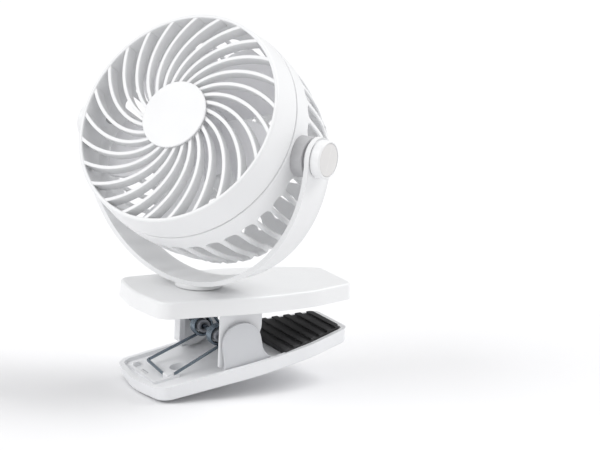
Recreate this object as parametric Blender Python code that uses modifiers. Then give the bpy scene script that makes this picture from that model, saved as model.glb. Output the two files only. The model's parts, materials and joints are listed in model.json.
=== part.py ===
"""Clip-on desk fan: a head with a finned guard and an impeller, a C-shaped yoke,
and a sprung clamp that grips the edge of a desk top.

Frame: metres, +Z up.  The origin is the middle of the upper jaw's pad, on the face that
rests on the desk top.  +Y runs from the clamp's handles out to the tips of its jaws.
"""

import math

import bmesh
import bpy
from mathutils import Matrix, Vector

MM = 0.001
GAP = 0.3 * MM                      # between pieces that touch

# ---- clamp ----
SWIVEL_Y = -60 * MM                 # the swivel's axis, behind the pad's middle
PLATE_TOP_Z = 11.1 * MM
SKIRT_BOTTOM_Z = 0.6 * MM
SKIRT_DRAFT = 0.7 * MM              # how much wider the skirt is at its foot
SHELL_WALL = 2.2 * MM
PIN_Y = SWIVEL_Y + 9 * MM
PIN_Z = -18.2 * MM
PIN_RADIUS = 1.6 * MM
JAW_ANGLE = math.radians(10.5)      # lower jaw to upper jaw, gripping a 30 mm desk top
CHEEK_X = 27.4 * MM                 # inner face of an upper cheek
CHEEK_WALL = 2.4 * MM
EAR_X = 30.3 * MM                   # inner face of a lower ear
EAR_WALL = 2.8 * MM
EAR_RADIUS = 13 * MM
TRAY_RIM_Z = -16.1 * MM             # below the pin, in the lower jaw's own frame
TRAY_HEIGHT = 8.4 * MM
TRAY_RECESS = 2.2 * MM
TRAY_RIM_WIDTH = 3.6 * MM
TRAY_HOLE_RADIUS = 5.6 * MM
TRAY_HOLE_Y = -23.8 * MM
SPRING_WIRE = 1.0 * MM              # wire radius
SPRING_COIL = 5.6 * MM              # from the pin's axis to the wire's centre
SPRING_TURNS = 3
SPRING_PITCH = 3.2 * MM
SPRING_INNER_X = 5.5 * MM            # where each coil starts, from the middle
SPRING_BAR_Y = -38.6 * MM           # the wire's cross bar, in the lower jaw's own frame
SPRING_START = math.radians(30)     # where a free leg meets its coil
SPRING_END = math.radians(-73)      # where an outer leg leaves it
SLEEVE_RADIUS = 4.2 * MM

# ---- yoke ----
YAW = math.radians(30)
TILT = math.radians(30.9)
PIVOT_Z = 103.6 * MM
YOKE_HALF_WIDTH = 84.2 * MM         # outer face, on the pivot axis
YOKE_DEPTH = 90.0 * MM              # outer face, straight down from the pivot
YOKE_BAND = 26 * MM
YOKE_WALL = 3.0 * MM
COLLAR_RADIUS = 15 * MM
STUD_RADIUS = 5.5 * MM
KNOB_RADIUS = 11.6 * MM
KNOB_FACE_X = 90.4 * MM
KNOB_CAP_RADIUS = 10.0 * MM
KNOB_CAP_THICKNESS = 1.2 * MM
PIVOT_SCREW_RADIUS = 2.0 * MM
WASHER_X = 80.3 * MM                # outer face of a friction washer, clear of the curved band
WASHER_THICKNESS = 1.2 * MM

# ---- head: z along the fan's axis, forward from the pivot ----
OPENING_RADIUS = 66 * MM
RIM_Z = 35.8 * MM
SEAM_Z = 14.5 * MM
GUARD_BACK_RADIUS = 70.6 * MM
HOUSING_RADIUS = 71 * MM
HOUSING_WALL = 2.2 * MM
BACK_Z = -60.5 * MM
FIN_COUNT = 25
FIN_START = math.radians(36.4)      # at the hub
FIN_SWEEP = math.radians(-52)
FIN_BEND = 0.86                     # below 1 the fin turns most near the hub
FIN_THICKNESS = 2.2 * MM
FIN_DEPTH = 9 * MM
HUB_RADIUS = 21.7 * MM
HUB_Z = 39 * MM
VENT_COUNT = 36
VENT_WIDTH = 8.2 * MM
VENT_FRONT_Z = -1 * MM
VENT_BACK_Z = -50 * MM
BACK_VENT_COUNT = 18
BUSH_RADIUS = 12.4 * MM
BLADE_COUNT = 5
BLADE_TIP = 61.5 * MM
BLADE_HUB = 19 * MM
SHAFT_RADIUS = 1.5 * MM
POD_RADIUS = 20 * MM
POD_FRONT_Z = -14 * MM
BUTTON_RADIUS = 5.5 * MM
BUTTON_TRAVEL = 1.2 * MM
GUARD_STEPS = 50
HOUSING_STEPS = 36                  # one flat for each vent

WHITE = ("white_plastic", (0.90, 0.90, 0.90), 0.32, 0.0)
WARM = ("warm_grey_plastic", (0.78, 0.77, 0.75), 0.40, 0.0)
BLADE = ("blade_plastic", (0.87, 0.86, 0.91), 0.38, 0.0)
GREY = ("grey_plastic", (0.42, 0.42, 0.42), 0.50, 0.0)
DARK = ("dark_plastic", (0.03, 0.03, 0.03), 0.45, 0.0)
RUBBER = ("pad_rubber", (0.06, 0.06, 0.06), 0.85, 0.0)
STEEL = ("zinc_steel", (0.62, 0.64, 0.68), 0.30, 1.0)
COPPER = ("copper_wire", (0.72, 0.38, 0.22), 0.35, 1.0)
BOARD = ("circuit_board", (0.05, 0.22, 0.10), 0.55, 0.0)


# ---------------------------------------------------------------- helpers

for old in list(bpy.data.objects):
    bpy.data.objects.remove(old, do_unlink=True)

fan = bpy.data.collections.new("clip_fan")
tools = bpy.data.collections.new("cutters")
bpy.context.scene.collection.children.link(fan)
bpy.context.scene.collection.children.link(tools)


def material(spec):
    name, colour, roughness, metallic = spec
    found = bpy.data.materials.get(name)
    if found:
        return found
    made = bpy.data.materials.new(name)
    made.use_nodes = True
    shader = made.node_tree.nodes["Principled BSDF"]
    shader.inputs["Base Color"].default_value = (*colour, 1)
    shader.inputs["Roughness"].default_value = roughness
    shader.inputs["Metallic"].default_value = metallic
    return made


def empty(name, parent=None, location=(0, 0, 0), rotation=(0, 0, 0)):
    made = bpy.data.objects.new(name, None)
    fan.objects.link(made)
    made.parent = parent
    made.location = location
    made.rotation_euler = rotation
    return made


def piece(name, mesh, spec, parent=None, location=(0, 0, 0), rotation=(0, 0, 0)):
    """A named object of the fan, with its own material, smooth where its faces are round."""
    made = bpy.data.objects.new(name, mesh)
    fan.objects.link(made)
    made.parent = parent
    made.location = location
    made.rotation_euler = rotation
    mesh.materials.clear()
    mesh.materials.append(material(spec))
    mesh.shade_smooth()
    mesh.set_sharp_from_angle(angle=math.radians(35))
    return made


def cutter(mesh, parent=None, location=(0, 0, 0), rotation=(0, 0, 0)):
    made = bpy.data.objects.new("cutter", mesh)
    tools.objects.link(made)
    made.parent = parent
    made.location = location
    made.rotation_euler = rotation
    made.hide_render = True
    made.display_type = "WIRE"
    return made


def combine(target, other, operation="DIFFERENCE"):
    modifier = target.modifiers.new(operation.lower(), "BOOLEAN")
    modifier.operation = operation
    modifier.solver = "EXACT"
    modifier.object = other


def mesh_from(build):
    bm = bmesh.new()
    build(bm)
    bmesh.ops.recalc_face_normals(bm, faces=bm.faces)
    mesh = bpy.data.meshes.new("mesh")
    bm.to_mesh(mesh)
    bm.free()
    return mesh


def evaluated(obj):
    """The object's mesh with its modifiers applied; the object itself is removed."""
    bpy.context.view_layer.update()
    graph = bpy.context.evaluated_depsgraph_get()
    mesh = bpy.data.meshes.new_from_object(obj.evaluated_get(graph))
    bpy.data.objects.remove(obj, do_unlink=True)
    bm = bmesh.new()
    bm.from_mesh(mesh)
    bmesh.ops.remove_doubles(bm, verts=bm.verts, dist=0.00001)
    bm.to_mesh(mesh)
    bm.free()
    return mesh


def turned(profile, steps=32, closed=True):
    """A ring or a solid of revolution about Z, from (radius, z) points."""
    mesh = bpy.data.meshes.new("profile")
    points = [(radius, 0, z) for radius, z in profile]
    edges = [(i, i + 1) for i in range(len(points) - 1)]
    if closed:
        edges.append((len(points) - 1, 0))
    mesh.from_pydata(points, edges, [])
    obj = bpy.data.objects.new("profile", mesh)
    tools.objects.link(obj)
    screw = obj.modifiers.new("screw", "SCREW")
    screw.steps = screw.render_steps = steps
    screw.use_merge_vertices = True
    screw.merge_threshold = 0.00001
    result = evaluated(obj)
    bm = bmesh.new()
    bm.from_mesh(result)
    bmesh.ops.recalc_face_normals(bm, faces=bm.faces)
    bm.to_mesh(result)
    bm.free()
    return result


def disc(radius, bottom, top, steps=32, bevel=0.0):
    """A solid cylinder about Z, with an optional chamfer round its top edge."""
    profile = [(0, top), (radius - bevel, top)]
    if bevel:
        profile.append((radius, top - bevel))
    profile += [(radius, bottom), (0, bottom)]
    return turned(profile, steps, closed=False)


def ring(inner, outer, bottom, top, steps=32):
    return turned([(inner, top), (outer, top), (outer, bottom), (inner, bottom)], steps)


def box(low, high):
    def build(bm):
        size = Vector(high) - Vector(low)
        middle = (Vector(high) + Vector(low)) / 2
        bmesh.ops.create_cube(bm, size=1, matrix=Matrix.Translation(middle) @ Matrix.Diagonal((*size, 1)))
    return mesh_from(build)


def rounded(corners, arc_steps=5):
    """A closed outline through (x, y, radius) corners, each one replaced with an arc."""
    outline = []
    count = len(corners)
    for i, (x, y, radius) in enumerate(corners):
        here = Vector((x, y))
        back = (Vector(corners[i - 1][:2]) - here).normalized()
        ahead = (Vector(corners[(i + 1) % count][:2]) - here).normalized()
        if radius == 0:
            outline.append((x, y))
            continue
        half = back.angle(ahead) / 2
        centre = here + (back + ahead).normalized() * radius / math.sin(half)
        start = here + back * radius / math.tan(half) - centre
        end = here + ahead * radius / math.tan(half) - centre
        sweep = start.angle_signed(end)
        for step in range(arc_steps + 1):
            turn = Matrix.Rotation(-sweep * step / arc_steps, 2)
            outline.append(tuple(centre + turn @ start))
    return outline


def slab(outline, bottom, top, top_outline=None):
    """A prism between two levels; a second outline gives its sides a draft."""
    upper = top_outline or outline

    def build(bm):
        low = [bm.verts.new((x, y, bottom)) for x, y in outline]
        high = [bm.verts.new((x, y, top)) for x, y in upper]
        bm.faces.new(low)
        bm.faces.new(high)
        count = len(low)
        for i in range(count):
            j = (i + 1) % count
            bm.faces.new((low[i], low[j], high[j], high[i]))
    return mesh_from(build)


def jaw_outline(inset=0.0, back=None):
    """The long rounded plan of both jaws, about the swivel's axis, drawn in by inset."""
    right = [(0, -45.8, 60), (34.5, -40.6, 10), (38.4, 28, 120), (33.8, 66, 60), (22.3, 99, 7)]
    corners = [(x * MM, y * MM, r * MM) for x, y, r in right]
    left = [(-x, y, r) for x, y, r in reversed(corners) if x > 0]
    outline = rounded(corners + left)
    moved = []
    count = len(outline)
    for i, point in enumerate(outline):
        before = Vector(outline[i - 1])
        after = Vector(outline[(i + 1) % count])
        along = (after - before).normalized()
        inward = Vector((-along.y, along.x))
        moved.append(Vector(point) + inward * inset)
    if back is not None:
        moved = ahead_of(moved, back)
    return [tuple(point) for point in moved]


def ahead_of(points, back):
    """The part of an outline in front of one value of y."""
    kept = []
    for i, point in enumerate(points):
        other = points[(i + 1) % len(points)]
        if point.y >= back:
            kept.append(point)
        if (point.y >= back) != (other.y >= back):
            kept.append(point.lerp(other, (back - point.y) / (other.y - point.y)))
    return kept


def sideways(outline, inner_x, outer_x):
    """A plate standing in the YZ plane, from its (y, z) outline."""
    def build(bm):
        near = [bm.verts.new((inner_x, y, z)) for y, z in outline]
        far = [bm.verts.new((outer_x, y, z)) for y, z in outline]
        bm.faces.new(near)
        bm.faces.new(far)
        count = len(near)
        for i in range(count):
            j = (i + 1) % count
            bm.faces.new((near[i], near[j], far[j], far[i]))
    return mesh_from(build)


def wire(name, points, radius, spec, parent=None, resolution=2):
    curve = bpy.data.curves.new(name, "CURVE")
    curve.dimensions = "3D"
    curve.bevel_depth = radius
    curve.bevel_resolution = resolution
    curve.use_fill_caps = True
    spline = curve.splines.new("POLY")
    spline.points.add(len(points) - 1)
    for target, point in zip(spline.points, points):
        target.co = (*point, 1)
    obj = bpy.data.objects.new("wire", curve)
    tools.objects.link(obj)
    return piece(name, evaluated(obj), spec, parent)


def arc(centre, radius, start, end, steps):
    """Points (a, b) on a circle, from one angle in degrees to another."""
    angles = [math.radians(start + (end - start) * i / steps) for i in range(steps + 1)]
    return [(centre[0] + radius * math.cos(a), centre[1] + radius * math.sin(a)) for a in angles]


SIDES = (("left", -1), ("right", 1))
ALONG_X = (0, math.radians(90), 0)  # turns a piece's Z axis to +X

# ---------------------------------------------------------------- upper jaw

swivel = empty("swivel_axis", location=(0, SWIVEL_Y, 0))


def upper_jaw():
    edge = 0.9 * MM                 # the crown's softened edge
    levels = (
        (SKIRT_DRAFT + SHELL_WALL, PLATE_TOP_Z - SHELL_WALL), (SHELL_WALL, SKIRT_BOTTOM_Z),
        (0, SKIRT_BOTTOM_Z), (SKIRT_DRAFT, PLATE_TOP_Z - edge), (SKIRT_DRAFT + edge, PLATE_TOP_Z),
    )

    def skin(bm):
        rows = [[bm.verts.new((x, y, z)) for x, y in jaw_outline(inset)] for inset, z in levels]
        for lower, upper in zip(rows, rows[1:]):
            for i in range(len(lower)):
                j = (i + 1) % len(lower)
                bm.faces.new((lower[i], lower[j], upper[j], upper[i]))
        bm.faces.new(rows[0])
        bm.faces.new(rows[-1])
    shell = piece("upper_jaw_shell", mesh_from(skin), WHITE, swivel)
    combine(shell, cutter(disc(STUD_RADIUS + GAP, 0, 0.02, 32), swivel))

    # The cheeks hang inside the shell and carry the pin.
    cheek_top = PLATE_TOP_Z - SHELL_WALL - GAP
    pin_y, pin_z = PIN_Y - SWIVEL_Y, PIN_Z
    rear, front = 2 * MM, 31 * MM
    reach = 17.3 * MM
    foot_angle = 180 + math.degrees(math.acos((pin_y - rear) / reach))
    outline = [(rear, cheek_top)]
    outline += arc((pin_y, pin_z), reach, foot_angle, 350, 10)
    outline += [(front, PIN_Z + 8 * MM), (front, cheek_top)]
    for side, sign in SIDES:
        mesh = sideways(outline, sign * CHEEK_X, sign * (CHEEK_X + CHEEK_WALL))
        cheek = piece("upper_cheek_" + side, mesh, WHITE, swivel)
        hole = disc(PIN_RADIUS + 0.25 * MM, -0.01, 0.01, 24)
        combine(cheek, cutter(hole, swivel, (sign * CHEEK_X, pin_y, pin_z), ALONG_X))
        foot_mesh = box((-3 * MM, rear + 1 * MM, cheek_top - 2.4 * MM), (3 * MM, front, cheek_top))
        combine(cheek, cutter(foot_mesh, swivel, (sign * (CHEEK_X - 1 * MM), 0, 0)), "UNION")

    liner_low = 2.9 * MM
    liner = jaw_outline(inset=SHELL_WALL + 0.7 * MM, back=34 * MM)
    piece("upper_jaw_liner", slab(liner, liner_low, cheek_top), WHITE, swivel)
    pad = jaw_outline(inset=SHELL_WALL + 2.2 * MM, back=36 * MM)
    piece("upper_jaw_pad", slab(pad, 0, liner_low - GAP), RUBBER, swivel)

    under = PLATE_TOP_Z - SHELL_WALL - GAP
    washer = ring(2 * MM, 11 * MM, under - 1.6 * MM, under, 32)
    piece("swivel_washer", washer, STEEL, swivel)


upper_jaw()

# ---------------------------------------------------------------- lower jaw

lower = empty("lower_jaw_axis", location=(0, PIN_Y, PIN_Z), rotation=(JAW_ANGLE, 0, 0))
PLAN_SHIFT = -12.1 * MM             # from the plan's own centre to the pin, along the tray


def shifted(outline, distance):
    return [(x, y + distance) for x, y in outline]


def lower_jaw():
    bottom = TRAY_RIM_Z - TRAY_HEIGHT
    floor = TRAY_RIM_Z - TRAY_RECESS
    rim = shifted(jaw_outline(inset=0.3 * MM), PLAN_SHIFT)
    sole = shifted(jaw_outline(inset=1.6 * MM), PLAN_SHIFT)
    tray = piece("lower_jaw_tray", slab(sole, bottom, TRAY_RIM_Z, rim), WHITE, lower)
    recess = shifted(jaw_outline(inset=TRAY_RIM_WIDTH), PLAN_SHIFT)
    combine(tray, cutter(slab(recess, floor, TRAY_RIM_Z + 5 * MM), lower))
    hole = disc(TRAY_HOLE_RADIUS, bottom - 1 * MM, floor + 1 * MM, 32)
    combine(tray, cutter(hole, lower, (0, TRAY_HOLE_Y, 0)))

    # A low stop behind the spring's bar.
    stop_y = SPRING_BAR_Y - SPRING_WIRE - GAP
    stop = box((-13 * MM, stop_y - 2.4 * MM, floor - 1 * MM), (13 * MM, stop_y, floor + 1.5 * MM))
    combine(tray, cutter(stop, lower), "UNION")

    # Ears: arched plates that stand on the tray's floor outside the upper cheeks.
    centre = (6.7 * MM, -2.3 * MM)
    foot = floor + GAP
    outline = arc(centre, EAR_RADIUS, 0, 180, 14)
    outline += [(centre[0] - EAR_RADIUS - 1 * MM, foot), (centre[0] + EAR_RADIUS + 4 * MM, foot)]
    for side, sign in SIDES:
        mesh = sideways(outline, sign * EAR_X, sign * (EAR_X + EAR_WALL))
        ear = piece("lower_ear_" + side, mesh, WHITE, lower)
        pocket = disc(PIN_RADIUS + 0.05 * MM, -1.6 * MM, 1.6 * MM, 24)
        combine(ear, cutter(pocket, lower, (sign * EAR_X, 0, 0), ALONG_X))

    pad = shifted(jaw_outline(inset=TRAY_RIM_WIDTH + 1.2 * MM, back=46 * MM), PLAN_SHIFT)
    piece("lower_jaw_pad", slab(pad, floor + GAP, TRAY_RIM_Z + 2 * MM), RUBBER, lower)

    half = EAR_X + 1.3 * MM
    piece("pivot_pin", disc(PIN_RADIUS, -half, half, 24), STEEL, lower, rotation=ALONG_X)
    ends = (SPRING_INNER_X - 0.8 * MM, SPRING_INNER_X + SPRING_TURNS * SPRING_PITCH + 1.5 * MM)
    for side, sign in SIDES:
        sleeve = ring(PIN_RADIUS + GAP, SLEEVE_RADIUS, *sorted(sign * end for end in ends), 24)
        piece("spring_sleeve_" + side, sleeve, GREY, lower, rotation=ALONG_X)
    spring()


def spring():
    """Two coils on the pin, one wire: a bar across the handle joins their outer ends."""
    bar_y, bar_z = SPRING_BAR_Y, TRAY_RIM_Z - 1 * MM
    bar_rise = 3.2 * MM             # the bar lies aslant, higher at its left end
    outer_x = SPRING_INNER_X + SPRING_TURNS * SPRING_PITCH
    free_length = 22 * MM
    sweep = SPRING_START - SPRING_END + 2 * math.pi * SPRING_TURNS
    steps = 26

    def half(sign):
        on_coil = Vector((math.cos(SPRING_START), math.sin(SPRING_START))) * SPRING_COIL
        back = Vector((-math.sin(SPRING_START), math.cos(SPRING_START)))
        points = [(sign * SPRING_INNER_X, *(on_coil + back * free_length))]
        for i in range(steps + 1):
            angle = SPRING_START - sweep * i / steps
            x = sign * (SPRING_INNER_X + (outer_x - SPRING_INNER_X) * i / steps)
            points.append((x, SPRING_COIL * math.cos(angle), SPRING_COIL * math.sin(angle)))
        for x, y in ((outer_x, 2 * MM), (outer_x - 0.6 * MM, 0.6 * MM), (outer_x - 2 * MM, 0)):
            rise = bar_rise * (1 - sign * x / outer_x) / 2
            points.append((sign * x, bar_y + y, bar_z + rise))
        return points

    wire("clamp_spring", half(1) + half(-1)[::-1], SPRING_WIRE, STEEL, lower, resolution=1)


lower_jaw()

# ---------------------------------------------------------------- yoke

yoke = empty("yoke_axis", swivel, rotation=(0, 0, YAW))
pivot = empty("pivot_axis", yoke, location=(0, 0, PIVOT_Z))


def yoke_arm():
    """An elliptical band with round ends, on a low collar with a stud through the plate."""
    steps, end_steps = 30, 5
    rows = []                       # (x across, z down, half width) on a unit band
    for i in range(end_steps):
        angle = math.radians(84) * (1 - i / end_steps)
        rows.append((-1, YOKE_BAND / 2 * math.sin(angle), math.cos(angle)))
    for i in range(steps + 1):
        angle = math.pi * (1 + i / steps)
        rows.append((math.cos(angle), math.sin(angle), 1))
    rows += [(1, z, width) for _, z, width in rows[end_steps - 1::-1]]

    def build(bm):
        sections = []
        for across, down, width in rows:
            section = []
            for wall, y in ((0, -1), (0, 1), (YOKE_WALL, 1), (YOKE_WALL, -1)):
                x = (YOKE_HALF_WIDTH - wall) * across
                z = (YOKE_DEPTH - wall) * down if down <= 0 else down
                section.append(bm.verts.new((x, y * width * YOKE_BAND / 2, z)))
            sections.append(section)
        for one, two in zip(sections, sections[1:]):
            for k in range(4):
                m = (k + 1) % 4
                bm.faces.new((one[k], one[m], two[m], two[k]))
        bm.faces.new(sections[0])
        bm.faces.new(sections[-1])
    arm = piece("yoke_arm", mesh_from(build), WHITE, pivot)
    combine(arm, cutter(disc(PIVOT_SCREW_RADIUS + 0.2 * MM, -0.1, 0.1, 24), pivot, rotation=ALONG_X))

    collar_top = PIVOT_Z - YOKE_DEPTH + 2.4 * MM
    collar = disc(COLLAR_RADIUS, PLATE_TOP_Z + GAP, collar_top, 48)
    combine(arm, cutter(collar, yoke), "UNION")
    stud = disc(STUD_RADIUS, PLATE_TOP_Z - SHELL_WALL - GAP + 0.3 * MM, PLATE_TOP_Z + 1 * MM, 32)
    combine(arm, cutter(stud, yoke), "UNION")
    combine(arm, cutter(disc(1.6 * MM, -0.01, PLATE_TOP_Z + 1.4 * MM, 24), yoke))

    bore_top = PLATE_TOP_Z + 1.4 * MM
    head_top = PLATE_TOP_Z - SHELL_WALL - 2 * GAP - 1.6 * MM
    screw = [(0, bore_top - GAP), (1.3 * MM, bore_top - GAP), (1.3 * MM, head_top), (4 * MM, head_top),
             (4 * MM, head_top - 2.2 * MM), (0, head_top - 2.2 * MM)]
    piece("swivel_screw", turned(screw, 24, closed=False), STEEL, yoke)


def pivot_fittings():
    for side, sign in SIDES:
        turn = (0, sign * math.radians(90), 0)
        friction = ring(PIVOT_SCREW_RADIUS + GAP, 9.5 * MM, WASHER_X - WASHER_THICKNESS, WASHER_X, 24)
        piece("friction_washer_" + side, friction, GREY, pivot, rotation=turn)

        seat = YOKE_HALF_WIDTH + GAP
        recess_z = KNOB_FACE_X - KNOB_CAP_THICKNESS
        lip = KNOB_CAP_RADIUS + GAP
        bore, well = PIVOT_SCREW_RADIUS + GAP, 4.6 * MM     # for the screw's shank and for its head
        profile = [
            (lip, KNOB_FACE_X), (KNOB_RADIUS - 0.7 * MM, KNOB_FACE_X), (KNOB_RADIUS, KNOB_FACE_X - 0.7 * MM),
            (KNOB_RADIUS, seat), (bore, seat), (bore, seat + 2 * MM), (well, seat + 2 * MM),
            (well, recess_z - GAP), (lip, recess_z - GAP),
        ]
        piece("knob_" + side, turned(profile, 32), WHITE, pivot, rotation=turn)
        cap = disc(KNOB_CAP_RADIUS, recess_z, KNOB_FACE_X - 0.15 * MM, 32, bevel=0.25 * MM)
        piece("knob_cap_" + side, cap, WARM, pivot, rotation=turn)

        head_z = seat + 2 * MM + GAP
        radius = PIVOT_SCREW_RADIUS
        shank_end = HOUSING_RADIUS + 2.5 * MM
        screw = [(0, head_z + 1.4 * MM), (4 * MM, head_z + 1.4 * MM), (4 * MM, head_z), (radius, head_z),
                 (radius, shank_end), (0, shank_end)]
        piece("pivot_screw_" + side, turned(screw, 24, closed=False), STEEL, pivot, rotation=turn)


yoke_arm()
pivot_fittings()

# ---------------------------------------------------------------- head

head = empty("head_axis", pivot, rotation=(math.radians(90) - TILT, 0, 0))


def fin(bm, angle):
    """One swept fin of the guard, from under the hub to inside the rim."""
    steps = 6
    inner, outer = HUB_RADIUS - 3 * MM, OPENING_RADIUS + 0.7 * MM
    rows = []
    for i in range(steps + 1):
        part = i / steps
        radius = inner + (outer - inner) * part
        turn = angle + FIN_START + FIN_SWEEP * part ** FIN_BEND
        slope = FIN_SWEEP * FIN_BEND * max(part, 0.05) ** (FIN_BEND - 1) * radius / (outer - inner)
        radial = Vector((math.cos(turn), math.sin(turn)))
        around = Vector((-radial.y, radial.x))
        along = (radial + around * slope).normalized()
        side = Vector((-along.y, along.x)) * FIN_THICKNESS / 2
        centre = radial * radius
        front = HUB_Z - 1.6 * MM + (RIM_Z - 0.6 * MM - HUB_Z + 1.6 * MM) * part
        back = front - FIN_DEPTH * (0.55 + 0.45 * part)
        row = []
        for sign, z in ((-1, front), (1, front), (1, back), (-1, back)):
            row.append(bm.verts.new((*(centre + side * sign), z)))
        rows.append(row)
    for one, two in zip(rows, rows[1:]):
        for k in range(4):
            m = (k + 1) % 4
            bm.faces.new((one[k], one[m], two[m], two[k]))
    bm.faces.new(rows[0])
    bm.faces.new(rows[-1])


def front_guard():
    rim_outer = 68.6 * MM
    profile = [
        (OPENING_RADIUS, RIM_Z - 0.6 * MM), (OPENING_RADIUS + 0.7 * MM, RIM_Z), (rim_outer - 0.8 * MM, RIM_Z),
        (rim_outer, RIM_Z - 0.9 * MM), (GUARD_BACK_RADIUS, SEAM_Z + GAP),
        (GUARD_BACK_RADIUS - HOUSING_WALL, SEAM_Z + GAP), (OPENING_RADIUS + 0.6 * MM, RIM_Z - 14 * MM),
    ]
    guard = piece("front_guard", turned(profile, GUARD_STEPS), WHITE, head)

    def fins(bm):
        for i in range(FIN_COUNT):
            fin(bm, 2 * math.pi * i / FIN_COUNT)
    combine(guard, cutter(mesh_from(fins), head), "UNION")
    hub = disc(HUB_RADIUS - 1.5 * MM, HUB_Z - 4.6 * MM, HUB_Z - 1.6 * MM + 0.1 * MM, 40)
    combine(guard, cutter(hub, head), "UNION")
    cap = disc(HUB_RADIUS, HUB_Z - 1.5 * MM + GAP, HUB_Z, 48, bevel=0.4 * MM)
    piece("guard_hub_cap", cap, WHITE, head)


HOUSING_OUTER = [(71, 14.2), (71, 0.5), (69.2, -20), (65.3, -38), (59.6, -50.6), (52, -57.4), (42, -60.5)]


def rear_housing():
    outer = [(radius * MM, z * MM) for radius, z in HOUSING_OUTER]
    inner = [(radius - HOUSING_WALL, z + HOUSING_WALL * (0.15 if z > -0.045 else 0.75)) for radius, z in outer]
    inner[0] = (inner[0][0], outer[0][1])
    inner[-1] = (outer[-1][0], outer[-1][1] + HOUSING_WALL)
    hub_hole = BUTTON_RADIUS + 4 * MM
    profile = outer + [(hub_hole, BACK_Z), (hub_hole, BACK_Z + HOUSING_WALL)] + inner[::-1]
    housing = piece("rear_housing", turned(profile, HOUSING_STEPS), WHITE, head)

    front, back = VENT_WIDTH / 2, VENT_WIDTH / 2 - 0.9 * MM
    vent = rounded([(-front, VENT_FRONT_Z, 0), (front, VENT_FRONT_Z, 0), (back, VENT_BACK_Z, 3.1 * MM),
                    (-back, VENT_BACK_Z, 3.1 * MM)], arc_steps=2)

    def vents(bm):
        for i in range(VENT_COUNT):
            angle = 2 * math.pi * (i + 0.5) / VENT_COUNT
            beside_bush = abs(math.cos(angle)) > 0.985
            radial = Vector((math.cos(angle), math.sin(angle), 0))
            around = Vector((-radial.y, radial.x, 0))
            rows = []
            for radius in (54.5 * MM, 76 * MM):
                row = []
                for x, z in vent:
                    if beside_bush:
                        z = min(z, -15 * MM)
                    row.append(bm.verts.new(radial * radius + around * x + Vector((0, 0, z))))
                rows.append(row)
            bm.faces.new(rows[0])
            bm.faces.new(rows[1])
            count = len(rows[0])
            for k in range(count):
                m = (k + 1) % count
                bm.faces.new((rows[0][k], rows[0][m], rows[1][m], rows[1][k]))
    combine(housing, cutter(mesh_from(vents), head))

    def back_vents(bm):
        for i in range(BACK_VENT_COUNT):
            angle = 2 * math.pi * (i + 0.25) / BACK_VENT_COUNT     # in line with every other side vent
            turn = Matrix.Rotation(angle, 4, "Z")
            size = Matrix.Diagonal((16 * MM, 3.4 * MM, 8 * MM, 1))
            place = Matrix.Translation((33 * MM, 0, BACK_Z))
            bmesh.ops.create_cube(bm, size=1, matrix=turn @ place @ size)
    combine(housing, cutter(mesh_from(back_vents), head))

    # Bushes that stand on the housing's sides and turn in the yoke.
    for side, sign in SIDES:
        face = WASHER_X - WASHER_THICKNESS - GAP
        mesh = ring(PIVOT_SCREW_RADIUS + GAP, BUSH_RADIUS, HOUSING_RADIUS - 4 * MM, face, 32)
        bush = piece("pivot_bush_" + side, mesh, GREY, head, rotation=(0, sign * math.radians(90), 0))
        saddle = disc(HOUSING_RADIUS + GAP, -0.05, 0.05, HOUSING_STEPS)
        combine(bush, cutter(saddle, head))


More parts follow.
